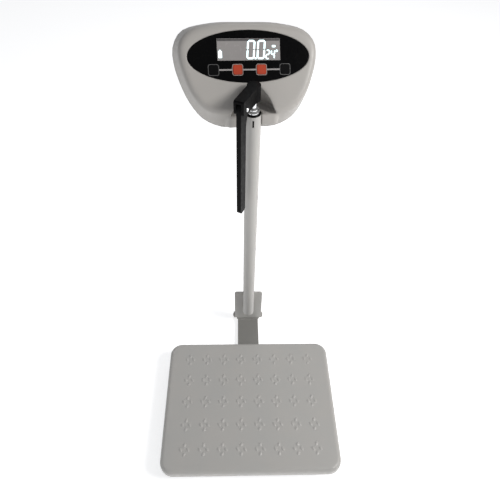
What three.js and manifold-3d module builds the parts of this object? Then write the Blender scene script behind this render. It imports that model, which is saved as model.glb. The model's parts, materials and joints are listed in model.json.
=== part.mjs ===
// Electronic column body scale with a telescopic height rod, in millimetres, +Z up.
// -Y is the user's side. The origin is the floor point under the middle of the bounding box.
import * as THREE from 'three';
import { mergeVertices } from 'three/addons/utils/BufferGeometryUtils.js';
import Module from 'manifold-3d';

const wasm = await Module();
wasm.setup();

// ---------------------------------------------------------------- driving dimensions

const gap = 0.3;                 // clearance between pieces that rest on each other
const slack = 0.4;               // clearance of a screw in its hole
const reach = 20;                // how far a cutter runs past the face it opens
const bite = 1;                  // how far joined shapes run into each other
const threadGrip = 12;           // screw length in the piece it holds
const threadHole = 14;

// platform and base
const platformWidth = 400;
const platformDepth = 315;
const platformCorner = 29;
const platformEdge = 10;         // rounding of the cover's top edge
const coverWall = 2.5;
const skirtHeight = 22;
const padHeight = 3.9;
const padRadius = 12;
const padInset = 46;             // pads and feet from the platform's sides
const frameThick = 5;
const frameBar = 34;
const spacerThick = 3;
const cellLength = 130;
const cellWidth = 30;
const cellHeight = 24;
const cellHole = 6.5;
const cellHoleSpread = 15;
const spacerLength = 36;
const cellScrewPitch = 20;
const panInset = 20;             // the pan's sides from the platform's sides
const panWall = 2.5;
const panHeight = 19;
const panCorner = 20;
const footRadius = 17;
const footTopRadius = 13;
const footEdge = 1.5;
const footShoulder = 2;
const footStud = 4;
const studEnd = 4;               // stud above the pan's floor
const cellSlot = 4;
const flatHead = 2.4;            // screw heads where room is short
const bracketScrewInset = 17;
const grommetAside = 16;         // cable's hole in the pan, beside the strip
const grommetAhead = 4;          // and ahead of the rear feet
const grommetWall = 2;
const grommetRim = 1.4;

// bracket behind the platform
const columnSetback = 88;        // column axis behind the platform's rear edge
const plateThick = 4;
const plateWidth = 72;
const plateLap = 64;             // plate above the column's bottom
const plateCorner = 6;
const stripWidth = 56;
const stripLift = 8;             // strip above the floor
const stripReach = 137;          // how far the strip runs in under the platform
const stripBend = 6;
const tabThick = 3;
const tabEdge = 4;               // tab past the axle's hole
const tabGrip = 10;              // and up the plate
const neckHeight = 2;            // plate's narrow foot, above the bend
const plateRoot = 30;            // how far the bend runs up into the plate
const rollerRadius = 8.5;
const rollerWidth = 8;
const rollerLift = 5;            // rollers above the floor while the scale stands
const rollerEdge = 1;
const axleRadius = 3;
const axleHead = 1.5;
const axleHeadEdge = 2;

// column and rod sections
const columnRadius = 14;
const columnWall = 1.5;
const columnBottom = 74;
const columnTop = 681;
const plugLength = 56;
const plugDome = 4.7;
const boltInset = 15;            // column bolts from the plug's ends
const boltPast = 4;              // and past the column axis
const bushLength = 45;
const rimThick = 1.4;            // rim of each bush, above its tube
const sectionStep = 5;           // each section stands this far above the one around it
const sectionWall = 1;
const sectionFlare = 15;         // widened foot of each section
const flareSlope = 1;
const bandHeight = 2.5;          // band under the upper rod's glide ring
const bandStep = 0.6;
const glideHeight = 14;
const bushWall = 0.8;
const windowWidth = 3;
const windowHeight = 14;
const windowDrop = 6;            // catch window below the column's top

// arm bracket and measuring arm
const bracketYaw = -26;          // degrees about +Z, as the rod stands in its section
const bracketLift = 53;          // bracket's top above the column's top
const bracketHeight = 27;
const bracketWidth = 18;
const bracketFront = 57;
const bracketWall = 5;           // roof over the arm's slot
const barrelWall = 5.5;
const bracketEdge = 2;
const prongRound = 8;
const pinRadius = 2.5;
const pinHead = 1.6;
const pinHeadEdge = 1.2;
const pivotRadius = 13.7;        // round top of the arm about its pin
const armWidth = 8.5;
const armDepth = 20;
const armLength = 224;           // pin to tip
const armHeel = 12;              // heel behind the pin
const armHeelTop = 4;
const armHeelDrop = 24;
const armHeelRamp = 6;
const armTip = 7;
const armEdge = 3;

// display head
const headYaw = 9;               // degrees about +Z, turned on the column
const headRoll = 3.2;            // degrees in the face's own plane, as it sits on the column
const headTilt = 40;             // degrees, face leaned back from upright
const faceBack = 47;             // face centre behind the column axis
const faceLift = 76.5;           // face centre above the column's top
const headWall = 2.6;
const faceWall = 4.5;
const shellDepth = 45;           // front shell, from the face to the parting line
const rearDepth = 32;            // rear shell behind the parting line
const faceRound = 8;
const rearRound = 16;
const rearTaper = 12;
const scoopClear = 26;           // scoop about the column, at its floor
const scoopTopRadius = 14;
const scoopHeight = 50;
const bossWidth = 88;
const bossFront = 7;             // boss ahead of the column axis
const bossBehind = 10;           // boss behind the column
const bossDrop = 23;
const bossRearDrop = 32;
const bossRound = 8;
const bossEdge = 4;
const headScrewDrop = 10;        // upper head screw below the column's top
const headScrewPitch = 12;
const headScrewSeat = 7;         // seat of the head screws behind the column
const smallScrewRadius = 1.5;
const smallScrewHead = 3.2;
const smallHeadHeight = 2;
const fasciaWidth = 202;
const fasciaMargin = 12.6;       // fascia below the keys
const fasciaThick = 2;
const fasciaProud = 0.4;
const lcdWidth = 104;
const lcdHeight = 34;
const lcdDrop = 6.2;             // window's lower edge below the face centre
const lcdRim = 3;
const lcdDepth = 4.9;            // module behind the face wall
const keySize = 15;
const keyPitch = 39.6;
const keyGap = 7;                // keys below the window
const keyFlangeEdge = 1.5;
const keyFlangeThick = 1.5;
const keyStem = 5;
const keyProud = 1.4;
const keyTravel = 0.8;
const keyCorner = 3;
const boardThick = 1.6;
const boardGap = 1.2;
const boardUp = -2;
const partsHeight = 5;
const boardWidth = 156;
const boardHeight = 62;
const batteryWidth = 102;
const batteryHeight = 42;
const batteryDepth = 25;
const batteryRound = 6;
const batteryUp = 8;             // battery above the face centre
const doorMargin = 4;
const doorCorner = 3;
const socketRadius = 5.5;
const socketDepth = 14;
const socketBore = 2.8;
const socketPin = 1;
const socketFloor = 2;
const socketPlace = [52, -42];
const shellPostRadius = 4.5;
const postPlaces = [[-82, 34], [82, 34]];
const postSeat = 6;              // screw seat behind the parting line
const shellScrewLength = 24;

// cable
const cableRadius = 1.6;
const cableSide = 9;             // cable beside the column's centre plane
const cableOff = 4.5;            // cable's centre behind the column
const cableBossGap = 5;          // and behind the boss, where it leaves the head
const cableHoleDrop = 8;
const clipEdge = 4;
const clipHeight = 10;
const screwRadius = 3;
const screwHead = 5;
const screwHeadHeight = 3;

// ---------------------------------------------------------------- derived places

const degree = Math.PI / 180;
const columnY = platformDepth / 2 + columnSetback;
const padX = platformWidth / 2 - padInset;
const padY = platformDepth / 2 - padInset;
const stripTop = stripLift + plateThick;
const panBottom = stripTop + gap;
const panInside = panBottom + panWall;
const lowerSpacerTop = panInside + gap + spacerThick;
const cellBottom = lowerSpacerTop + gap;
const cellTop = cellBottom + cellHeight;
const upperSpacerTop = cellTop + gap + spacerThick;
const frameBottom = upperSpacerTop + gap;
const frameTop = frameBottom + frameThick;
const padBottom = frameTop + gap;
const coverUnder = padBottom + padHeight + gap;
const platformHeight = coverUnder + coverWall;
const plateFront = columnY + columnRadius + gap;
const plateBack = plateFront + plateThick;
const plateTop = columnBottom + plateLap;
const stripFront = platformDepth / 2 - stripReach;
const plateBottom = stripTop + stripBend + neckHeight;
const rollerY = plateBack + 2 * slack + rollerRadius;
const rollerHeight = rollerLift + rollerRadius;
const tabOffset = stripWidth / 2;
const grommetNeck = cableRadius + grommetWall;
const plugTop = columnBottom + plugLength;
const columnBore = columnRadius - columnWall;
const lowerOuter = columnBore - gap - bushWall - gap;
const lowerInner = lowerOuter - sectionWall;
const middleOuter = lowerInner - gap - bushWall - gap;
const middleInner = middleOuter - sectionWall;
const upperOuter = middleInner - gap - bushWall - gap;
const rodBottom = plugTop + gap;
const lowerTop = columnTop + sectionStep;
const middleTop = lowerTop + sectionStep;
const bracketTop = columnTop + bracketLift;
const bracketBottom = bracketTop - bracketHeight;
const barrelRadius = upperOuter + barrelWall;
const pinForward = bracketFront - pivotRadius;
const slotWidth = armWidth + 2 * slack;
const slotRoof = bracketTop - bracketWall;
const pinHeight = slotRoof - gap - pivotRadius;
const faceHeight = columnTop + faceLift;
const lcdLift = lcdHeight / 2 - lcdDrop;
const keyDrop = lcdDrop + keyGap + keySize / 2;
const fasciaHeight = 2 * (keyDrop + keySize / 2 + fasciaMargin);
const keyFlangeFront = faceWall + gap;
const lcdBack = faceWall + lcdDepth;
const boardFront = lcdBack + gap + boardGap;
const rearBack = shellDepth + rearDepth;
const scoopRadius = columnRadius + scoopClear;
const bossBack = columnRadius + bossBehind;
const cableBehind = bossBack + cableBossGap;
const cableBack = columnY + columnRadius + cableOff;

// ---------------------------------------------------------------- materials

function material(colour, roughness, metalness) {
  return new THREE.MeshStandardMaterial({ color: colour, roughness, metalness });
}

const whitePaint = material(0xcfcdc8, 0.5, 0.1);
const whitePlastic = material(0xcdcac4, 0.45, 0.0);
const blackPlastic = material(0x141414, 0.4, 0.0);
const blackGloss = material(0x050505, 0.12, 0.0);
const greyGlass = material(0x8f9494, 0.2, 0.0);
const redKey = material(0xb24a2c, 0.45, 0.0);
const chrome = material(0xd8dadc, 0.12, 1.0);
const zinc = material(0xa9abad, 0.35, 1.0);
const steel = material(0x6f7276, 0.45, 0.9);
const aluminium = material(0xb4b7ba, 0.35, 0.9);
const rubber = material(0x1c1c1d, 0.85, 0.0);
const greyPlastic = material(0x8c8d8d, 0.6, 0.0);
const boardGreen = material(0x1f5a3a, 0.5, 0.0);
const batteryShrink = material(0x2b3a66, 0.4, 0.0);

// ---------------------------------------------------------------- geometry helpers

function solid(geometry) {
  const bare = geometry.clone();
  bare.deleteAttribute('normal');
  bare.deleteAttribute('uv');
  const merged = mergeVertices(bare, 1e-4);
  const vertProperties = new Float32Array(merged.attributes.position.array);
  const triVerts = new Uint32Array(merged.index.array);
  return new wasm.Manifold(new wasm.Mesh({ numProp: 3, vertProperties, triVerts }));
}

function geometryOf(body) {
  const mesh = body.getMesh();
  const geometry = new THREE.BufferGeometry();
  geometry.setAttribute('position', new THREE.BufferAttribute(mesh.vertProperties, 3));
  geometry.setIndex(new THREE.BufferAttribute(mesh.triVerts, 1));
  geometry.computeVertexNormals();
  return geometry;
}

function block(x0, x1, y0, y1, z0, z1) {
  const box = new THREE.BoxGeometry(x1 - x0, y1 - y0, z1 - z0);
  return solid(box.translate((x0 + x1) / 2, (y0 + y1) / 2, (z0 + z1) / 2));
}

// A closed (radius, height) profile turned about +Z.
function turned(profile, segments = 24) {
  const points = profile.map(([radius, height]) => new THREE.Vector2(radius, height));
  return solid(new THREE.LatheGeometry(points, segments).rotateX(Math.PI / 2));
}

function cylinder(radius, z0, z1, segments = 24) {
  return turned([[0, z0], [radius, z0], [radius, z1], [0, z1]], segments);
}

function ring(inner, outer, z0, z1, segments = 24) {
  return turned([[inner, z0], [outer, z0], [outer, z1], [inner, z1], [inner, z0]], segments);
}

function cone(radius0, radius1, z0, z1, segments = 40) {
  return turned([[0, z0], [radius0, z0], [radius1, z1], [0, z1]], segments);
}

// A pan-head screw with its head's underside at the origin and its shank along -Z.
function screwShape(radius, length, head, headHeight) {
  return turned([[0, -length], [radius, -length], [radius, 0], [head, 0],
    [head, headHeight * 0.6], [head * 0.7, headHeight], [0, headHeight]], 16);
}

function roundedRectangle(width, depth, radius, arcSteps = 6) {
  const points = [];
  const centres = [[1, 1, 0], [-1, 1, 90], [-1, -1, 180], [1, -1, 270]];
  for (const [sideX, sideY, start] of centres) {
    for (let step = 0; step <= arcSteps; step += 1) {
      const angle = (start + (90 * step) / arcSteps) * degree;
      const x = sideX * (width / 2 - radius) + radius * Math.cos(angle);
      const y = sideY * (depth / 2 - radius) + radius * Math.sin(angle);
      points.push(new THREE.Vector2(x, y));
    }
  }
  return points;
}

function ellipse(width, height, segments = 56) {
  return new THREE.EllipseCurve(0, 0, width / 2, height / 2).getPoints(segments).slice(0, -1);
}

function prism(points, z0, z1) {
  const shape = new THREE.Shape(points);
  const slab = new THREE.ExtrudeGeometry(shape, { depth: z1 - z0, bevelEnabled: false });
  return solid(slab.translate(0, 0, z0));
}

// Skin through a stack of outlines of equal length, each at its own height, capped at both ends.
function loft(levels) {
  const count = levels[0].points.length;
  const positions = [];
  const indices = [];
  for (const { points, z } of levels) {
    points.forEach((point) => positions.push(point.x, point.y, z));
  }
  for (let level = 0; level + 1 < levels.length; level += 1) {
    for (let i = 0; i < count; i += 1) {
      const here = level * count + i;
      const next = level * count + ((i + 1) % count);
      indices.push(here, next, next + count, here, next + count, here + count);
    }
  }
  capLoft(levels, positions, indices);
  const geometry = new THREE.BufferGeometry();
  geometry.setAttribute('position', new THREE.Float32BufferAttribute(positions, 3));
  geometry.setIndex(indices);
  return solid(geometry);
}

function capLoft(levels, positions, indices) {
  const ends = [{ level: 0, flip: true }, { level: levels.length - 1, flip: false }];
  for (const { level, flip } of ends) {
    const { points } = levels[level];
    const triangles = THREE.ShapeUtils.triangulateShape(points, []);
    for (const [a, b, c] of triangles) {
      const corners = flip ? [a, c, b] : [a, b, c];
      indices.push(...corners.map((corner) => level * points.length + corner));
    }
  }
}

// A solid turned so that its +Z runs along the given direction, then moved to a place.
function placed(body, direction, place) {
  const turn = new THREE.Quaternion().setFromUnitVectors(new THREE.Vector3(0, 0, 1), direction);
  const matrix = new THREE.Matrix4().compose(place, turn, new THREE.Vector3(1, 1, 1));
  return solid(geometryOf(body).applyMatrix4(matrix));
}

const alongX = new THREE.Vector3(1, 0, 0);
const alongY = new THREE.Vector3(0, 1, 0);
const alongZ = new THREE.Vector3(0, 0, 1);

function at(x, y, z) {
  return new THREE.Vector3(x, y, z);
}

function piece(name, body, look) {
  const mesh = new THREE.Mesh(geometryOf(body), look);
  mesh.name = name;
  return mesh;
}

// ---------------------------------------------------------------- platform and base

// Rounded box open below: straight sides from z0, top edge rounded over `round`.
function domedSlab(width, depth, corner, round, z0, z1) {
  const levels = [{ points: roundedRectangle(width, depth, corner), z: z0 }];
  const steps = 4;
  for (let step = 0; step <= steps; step += 1) {
    const angle = (90 * step * degree) / steps;
    const inset = round * (1 - Math.cos(angle));
    const points = roundedRectangle(width - 2 * inset, depth - 2 * inset, corner - inset);
    levels.push({ points, z: z1 - round + round * Math.sin(angle) });
  }
  return loft(levels);
}

function platformCover() {
  const skirtBottom = platformHeight - skirtHeight;
  const outer = domedSlab(platformWidth, platformDepth, platformCorner, platformEdge,
    skirtBottom, platformHeight);
  const inner = domedSlab(platformWidth - 2 * coverWall, platformDepth - 2 * coverWall,
    platformCorner - coverWall, platformEdge - coverWall, skirtBottom - reach, coverUnder);
  return piece('platform_cover', outer.subtract(inner), whitePaint);
}

function corners() {
  return [[-1, -1], [1, -1], [-1, 1], [1, 1]].map(([x, y]) => [x * padX, y * padY]);
}

function coverPads() {
  return corners().map(([x, y], index) => {
    const pad = cylinder(padRadius, padBottom, padBottom + padHeight, 24);
    return piece(`cover_pad_${index + 1}`, placed(pad, alongZ, at(x, y, 0)), rubber);
  });
}

function diagonalBar(sign) {
  const length = 2 * Math.hypot(padX, padY);
  const bar = new THREE.BoxGeometry(length, frameBar, frameThick);
  bar.rotateZ(sign * Math.atan2(padY, padX)).translate(0, 0, frameTop - frameThick / 2);
  return solid(bar);
}

function platformFrame() {
  const half = cellLength / 2;
  let frame = diagonalBar(1).add(diagonalBar(-1));
  frame = frame.add(block(-frameBar, frameBar, -half, half, frameBottom, frameTop));
  for (const y of cellScrews(1)) {
    frame = frame.subtract(placed(screwHole(frameBottom - reach, frameTop + reach), alongZ, at(0, y, 0)));
  }
  return piece('platform_frame', frame, steel);
}

function cellScrews(side) {
  const centre = side * (cellLength / 2 - spacerLength / 2);
  return [centre - cellScrewPitch / 2, centre + cellScrewPitch / 2];
}

function screwHole(z0, z1, radius = screwRadius + slack) {
  return cylinder(radius, z0, z1, 16);
}

function spacer(name, side, z1) {
  const centre = side * (cellLength / 2 - spacerLength / 2);
  const half = spacerLength / 2;
  let body = block(-cellWidth / 2, cellWidth / 2, centre - half, centre + half, z1 - spacerThick, z1);
  for (const y of cellScrews(side)) {
    body = body.subtract(placed(screwHole(z1 - reach, z1 + reach), alongZ, at(0, y, 0)));
  }
  return piece(name, body, steel);
}

function loadCell() {
  const half = cellLength / 2;
  const middle = (cellBottom + cellTop) / 2;
  let body = block(-cellWidth / 2, cellWidth / 2, -half, half, cellBottom, cellTop);
  for (const side of [-1, 1]) {
    const bore = cylinder(cellHole, -cellWidth, cellWidth, 20);
    body = body.subtract(placed(bore, alongX, at(0, side * cellHoleSpread, middle)));
  }
  body = body.subtract(block(-cellWidth, cellWidth, -cellHoleSpread, cellHoleSpread, middle - cellSlot / 2,
    middle + cellSlot / 2));
  for (const y of cellScrews(1)) {
    body = body.subtract(placed(screwHole(cellTop - threadHole, cellTop + reach), alongZ, at(0, y, 0)));
  }
  for (const y of cellScrews(-1)) {
    body = body.subtract(placed(screwHole(cellBottom - reach, cellBottom + threadHole), alongZ, at(0, y, 0)));
  }
  return piece('load_cell', body, aluminium);
}

function loadCellScrews() {
  const upperLength = frameTop + gap - cellTop + threadGrip;
  const lowerLength = cellBottom - panBottom + gap + threadGrip;
  const upper = screwShape(screwRadius, upperLength, screwHead, flatHead);
  const lower = screwShape(screwRadius, lowerLength, screwHead, flatHead);
  const uppers = cellScrews(1).map((y, index) => piece(`cell_screw_upper_${index + 1}`,
    placed(upper, alongZ, at(0, y, frameTop + gap)), zinc));
  const lowers = cellScrews(-1).map((y, index) => piece(`cell_screw_lower_${index + 1}`,
    placed(lower, alongZ.clone().negate(), at(0, y, panBottom - gap)), zinc));
  return [...uppers, ...lowers];
}

function bracketScrewPlaces() {
  const near = cellLength / 2 + bracketScrewInset;
  const far = platformDepth / 2 - panInset - bracketScrewInset;
  return [near, far];
}

const grommetPlace = at(stripWidth / 2 + grommetAside, padY - grommetAhead, 0);

function basePan() {
  const width = platformWidth - 2 * panInset;
  const depth = platformDepth - 2 * panInset;
  let pan = prism(roundedRectangle(width, depth, panCorner), panBottom, panBottom + panHeight);
  pan = pan.subtract(prism(roundedRectangle(width - 2 * panWall, depth - 2 * panWall, panCorner - panWall),
    panInside, panBottom + panHeight + reach));
  const holes = [
    ...cellScrews(-1).map((y) => [0, y, screwRadius + slack]),
    ...bracketScrewPlaces().map((y) => [0, y, screwRadius + slack]),
    ...corners().map(([x, y]) => [x, y, footStud + slack]),
    [grommetPlace.x, grommetPlace.y, grommetNeck + slack],
  ];
  for (const [x, y, radius] of holes) {
    const hole = screwHole(panBottom - reach, panInside + bite, radius);
    pan = pan.subtract(placed(hole, alongZ, at(x, y, 0)));
  }
  return piece('base_pan', pan, steel);
}

function feet() {
  const top = panBottom - gap;
  return corners().map(([x, y], index) => {
    const foot = turned([[0, 0], [footRadius - footEdge, 0], [footRadius, footEdge],
      [footTopRadius, top - footShoulder], [footTopRadius, top], [footStud, top],
      [footStud, panInside + studEnd], [0, panInside + studEnd]], 24);
    return piece(`rubber_foot_${index + 1}`, placed(foot, alongZ, at(x, y, 0)), rubber);
  });
}

// ---------------------------------------------------------------- bracket and rollers

// Strip under the platform that bends up into the plate: the profile in Y and Z.
function bentProfile() {
  const outer = stripBend + plateThick;
  const shape = new THREE.Shape();
  shape.moveTo(stripFront, stripLift);
  shape.lineTo(plateBack - outer, stripLift);
  shape.absarc(plateBack - outer, stripLift + outer, outer, -Math.PI / 2, 0, false);
  shape.lineTo(plateBack, stripLift + outer + plateRoot);
  shape.lineTo(plateFront, stripLift + outer + plateRoot);
  shape.lineTo(plateFront, stripLift + outer);
  shape.absarc(plateFront - stripBend, stripLift + outer, stripBend, 0, -Math.PI / 2, true);
  shape.lineTo(stripFront, stripTop);
  return shape.getPoints(6);
}

// Prism of a (Y, Z) outline, running across X.
function acrossX(points, x0, x1) {
  const flat = points.map((point) => new THREE.Vector2(point.x, point.y));
  const slab = new THREE.ExtrudeGeometry(new THREE.Shape(flat), { depth: x1 - x0, bevelEnabled: false });
  const turn = new THREE.Matrix4().makeBasis(alongY, alongZ, alongX);
  return solid(slab.applyMatrix4(turn).translate(x0, 0, 0));
}

function backPlate() {
  const height = plateTop - plateBottom;
  const outline = roundedRectangle(plateWidth, height, plateCorner);
  const shape = new THREE.Shape(outline);
  const slab = new THREE.ExtrudeGeometry(shape, { depth: plateThick, bevelEnabled: false });
  slab.rotateX(Math.PI / 2).translate(0, plateBack, plateBottom + height / 2);
  return solid(slab);
}

function rollerTab(side) {
  const inner = side * tabOffset;
  const outer = side * (tabOffset + tabThick);
  const edge = axleRadius + tabEdge;
  const box = block(Math.min(inner, outer), Math.max(inner, outer), plateBack - bite, rollerY + edge,
    rollerHeight - edge, plateBottom + tabGrip);
  const bore = cylinder(axleRadius + slack, -plateWidth, plateWidth, 20);
  return box.subtract(placed(bore, alongX, at(0, rollerY, rollerHeight)));
}

function columnBoltHeights() {
  return [columnBottom + boltInset, plugTop - boltInset];
}

function columnBracket() {
  let body = acrossX(bentProfile(), -stripWidth / 2, stripWidth / 2);
  body = body.add(backPlate()).add(rollerTab(-1)).add(rollerTab(1));
  for (const y of bracketScrewPlaces()) {
    body = body.subtract(placed(screwHole(stripLift - reach, stripTop + bite), alongZ, at(0, y, 0)));
  }
  for (const z of columnBoltHeights()) {
    const hole = screwHole(-reach, reach);
    body = body.subtract(placed(hole, alongY, at(0, plateBack, z)));
  }
  return piece('column_bracket', body, whitePaint);
}

function bracketScrews() {
  const length = panInside + gap - stripLift;
  const shape = screwShape(screwRadius, length, screwHead, screwHeadHeight);
  return bracketScrewPlaces().map((y, index) => piece(`bracket_screw_${index + 1}`,
    placed(shape, alongZ, at(0, y, panInside + gap)), zinc));
}

function rollers() {
  const inside = tabOffset + tabThick + 2 * slack;
  const outside = inside + rollerWidth;
  const end = outside + axleHead;
  const head = axleRadius + axleHeadEdge;
  const axle = turned([[0, -end], [head, -end], [head, -outside - gap], [axleRadius, -outside - gap],
    [axleRadius, outside + gap], [head, outside + gap], [head, end], [0, end]], 20);
  const roller = turned([[axleRadius + slack, inside], [rollerRadius - rollerEdge, inside],
    [rollerRadius, inside + rollerEdge], [rollerRadius, outside - rollerEdge],
    [rollerRadius - rollerEdge, outside], [axleRadius + slack, outside], [axleRadius + slack, inside]], 32);
  const centre = at(0, rollerY, rollerHeight);
  return [
    piece('roller_axle', placed(axle, alongX, centre), zinc),
    piece('transport_roller_right', placed(roller, alongX, centre), whitePlastic),
    piece('transport_roller_left', placed(roller, alongX.clone().negate(), centre), whitePlastic),
  ];
}

// ---------------------------------------------------------------- column and rod sections

function onColumn(body) {
  return placed(body, alongZ, at(0, columnY, 0));
}

function columnTube() {
  let tube = onColumn(ring(columnBore, columnRadius, columnBottom, columnTop, 32));
  const windowTop = columnTop - windowDrop;
  tube = tube.subtract(block(-windowWidth / 2, windowWidth / 2, columnY - columnRadius - reach, columnY,
    windowTop - windowHeight, windowTop));
  for (const z of columnBoltHeights()) {
    const hole = screwHole(0, columnRadius + reach);
    tube = tube.subtract(placed(hole, alongY, at(0, columnY, z)));
  }
  for (const z of headScrewHeights()) {
    tube = tube.subtract(headScrewHole(z));
  }
  return piece('column_tube', tube, whitePaint);
}

// Round foot under the tube, and a plug that fills its bore.
function plugProfile() {
  const fit = columnBore - gap;
  const foot = columnBottom - gap;
  const dome = [0, 1, 2, 3, 4].map((step) => {
    const angle = (step / 4) * 90 * degree;
    return [columnRadius * Math.sin(angle), foot - plugDome * Math.cos(angle)];
  });
  return [...dome, [fit, foot], [fit, plugTop], [0, plugTop]];
}

function columnPlug() {
  let plug = onColumn(turned(plugProfile(), 32));
  for (const z of columnBoltHeights()) {
    const hole = screwHole(-boltPast - bite, columnRadius + reach);
    plug = plug.subtract(placed(hole, alongY, at(0, columnY, z)));
  }
  return piece('column_foot_plug', plug, whitePaint);
}

function columnBolts() {
  const length = plateBack + gap - columnY + boltPast;
  const shape = screwShape(screwRadius, length, screwHead, screwHeadHeight);
  return columnBoltHeights().map((z, index) => piece(`column_bolt_${index + 1}`,
    placed(shape, alongY, at(0, plateBack + gap, z)), zinc));
}

// Bush in the mouth of a tube: a sleeve inside it and a rim on top of it.
function bush(name, tubeOuter, tubeInner, tubeTop, look) {
  const outer = tubeInner - gap;
  const inner = outer - bushWall;
  const foot = tubeTop - bushLength;
  const body = turned([[inner, foot], [outer, foot], [outer, tubeTop + gap], [tubeOuter, tubeTop + gap],
    [tubeOuter, tubeTop + gap + rimThick], [inner, tubeTop + gap + rimThick], [inner, foot]], 24);
  return piece(name, onColumn(body), look);
}

// Rod section: a thin tube whose widened foot can't leave the bush around it.
function section(name, outer, inner, guide, z0, z1) {
  const flare = guide - gap;
  const body = turned([[inner, z0], [flare, z0], [flare, z0 + sectionFlare - flareSlope],
    [outer, z0 + sectionFlare], [outer, z1], [inner, z1], [inner, z0]], 24);
  return piece(name, onColumn(body), chrome);
}

function upperRod() {
  const inner = upperOuter - sectionWall;
  const top = bracketTop - bracketWall;
  const body = turned([[inner, rodBottom], [upperOuter, rodBottom], [upperOuter, top], [inner, top],
    [inner, rodBottom]], 24);
  const band = ring(inner, upperOuter + bandStep, rodBottom, rodBottom + bandHeight);
  return piece('upper_rod', onColumn(body.add(band)), chrome);
}

// Ring around the upper rod's foot, in which the rod turns and with which it slides.
function upperGlide() {
  const outer = middleInner - gap;
  const inner = upperOuter + gap;
  const z0 = rodBottom + bandHeight + gap;
  const body = ring(inner, outer, z0, z0 + glideHeight);
  return piece('upper_rod_glide', onColumn(body), blackPlastic);
}

// ---------------------------------------------------------------- arm bracket and arm

// Everything on the bracket is drawn looking along +X: forward is -Y, up is +Z.
function sideOutline(points) {
  return points.map(([forward, z]) => new THREE.Vector2(-forward, z)).reverse();
}

function roundedProng() {
  const points = [[0, bracketTop], [bracketFront - bracketEdge, bracketTop],
    [bracketFront, bracketTop - bracketEdge]];
  for (let step = 0; step <= 4; step += 1) {
    const angle = (step / 4) * 90 * degree;
    const forward = bracketFront - prongRound + prongRound * Math.cos(angle);
    points.push([forward, bracketBottom + prongRound - prongRound * Math.sin(angle)]);
  }
  points.push([0, bracketBottom]);
  return sideOutline(points);
}

function armBracket() {
  const half = bracketWidth / 2;
  let body = acrossX(roundedProng(), -half, half);
  body = body.add(cylinder(barrelRadius, bracketBottom, bracketTop, 28));
  const slotBack = pinForward - pivotRadius - slack;
  body = body.subtract(block(-slotWidth / 2, slotWidth / 2, -bracketFront - reach, -slotBack,
    bracketBottom - reach, slotRoof));
  body = body.subtract(cylinder(upperOuter + gap, bracketBottom - reach, slotRoof + gap));
  const pinHole = cylinder(pinRadius + slack, -bracketWidth, bracketWidth, 16);
  body = body.subtract(placed(pinHole, alongX, at(0, -pinForward, pinHeight)));
  return piece('arm_bracket', body, blackPlastic);
}

function armPin() {
  const half = bracketWidth / 2;
  const head = pinRadius + pinHeadEdge;
  const end = half + pinHead;
  const pin = turned([[0, -end], [pinRadius, -end], [head, -half - gap], [pinRadius, -half - gap],
    [pinRadius, half + gap], [head, half + gap], [pinRadius, end], [0, end]], 16);
  return piece('arm_pin', placed(pin, alongX, at(0, -pinForward, pinHeight)), chrome);
}

// The arm's side outline, hanging from the pin: forward and height from the pin's centre.
function armOutline() {
  const points = [];
  for (let step = 0; step <= 8; step += 1) {
    const angle = (step / 8) * 180 * degree;
    points.push([-pivotRadius * Math.cos(angle), pivotRadius * Math.sin(angle)]);
  }
  const front = pivotRadius;
  const back = front - armDepth;
  points[0] = [-armHeel, armHeelTop];
  for (let step = 0; step <= 6; step += 1) {
    const angle = (step / 6) * 90 * degree;
    const forward = front - armTip + armTip * Math.cos(angle);
    points.push([forward, -armLength + armTip - armTip * Math.sin(angle)]);
  }
  points.push([back + armEdge, -armLength], [back, -armLength + armEdge]);
  points.push([back, -armHeelDrop - armHeelRamp], [-armHeel, -armHeelDrop + armHeelRamp]);
  return sideOutline(points);
}

function measuringArm() {
  const body = acrossX(armOutline(), -armWidth / 2, armWidth / 2);
  const hole = cylinder(pinRadius + slack, -armWidth, armWidth, 16);
  const bored = body.subtract(placed(hole, alongX, at(0, 0, 0)));
  return piece('measuring_arm', placed(bored, alongZ, at(0, -pinForward, pinHeight)), blackPlastic);
}

// ---------------------------------------------------------------- display head outlines

// Half outlines, from the top middle down the left side: across and up from the face centre.
const faceHalf = [[0, 51], [52, 49.5], [92, 41], [111, 23], [113.5, 0], [107, -28], [93, -61], [71, -83],
  [38, -88], [0, -88]];
const partingHalf = [[0, 67], [61, 65], [108, 52], [123, 27], [123, 0], [115, -31], [101, -63], [79, -91],
  [45, -106], [0, -105]];
const outlineSteps = 60;

function closedOutline(half) {
  const left = half.map(([across, up]) => new THREE.Vector3(-across, up, 0));
  const right = half.slice(1, -1).reverse().map(([across, up]) => new THREE.Vector3(across, up, 0));
  const curve = new THREE.CatmullRomCurve3([...left, ...right], true, 'centripetal');
  return curve.getSpacedPoints(outlineSteps).slice(0, -1);
}

const faceOutline = closedOutline(faceHalf);
const partingOutline = closedOutline(partingHalf);

// Blend of the two outlines, drawn in by an inset along the outline's own normals.
function headOutline(blend, inset) {
  const points = faceOutline.map((point, index) => point.clone().lerp(partingOutline[index], blend));
  return points.map((point, index) => {
    const before = points[(index + outlineSteps - 1) % outlineSteps];
    const after = points[(index + 1) % outlineSteps];
    const along = after.clone().sub(before).normalize();
    return new THREE.Vector2(point.x - along.y * inset, point.y + along.x * inset);
  });
}

// In the head's frame X is across, Y is depth behind the face and Z is up the face.
function standUp(body) {
  return solid(geometryOf(body).rotateX(Math.PI / 2));
}

function roundInset(depth, radius) {
  const into = Math.max(0, radius - depth);
  return radius - Math.sqrt(radius * radius - into * into);
}

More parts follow.
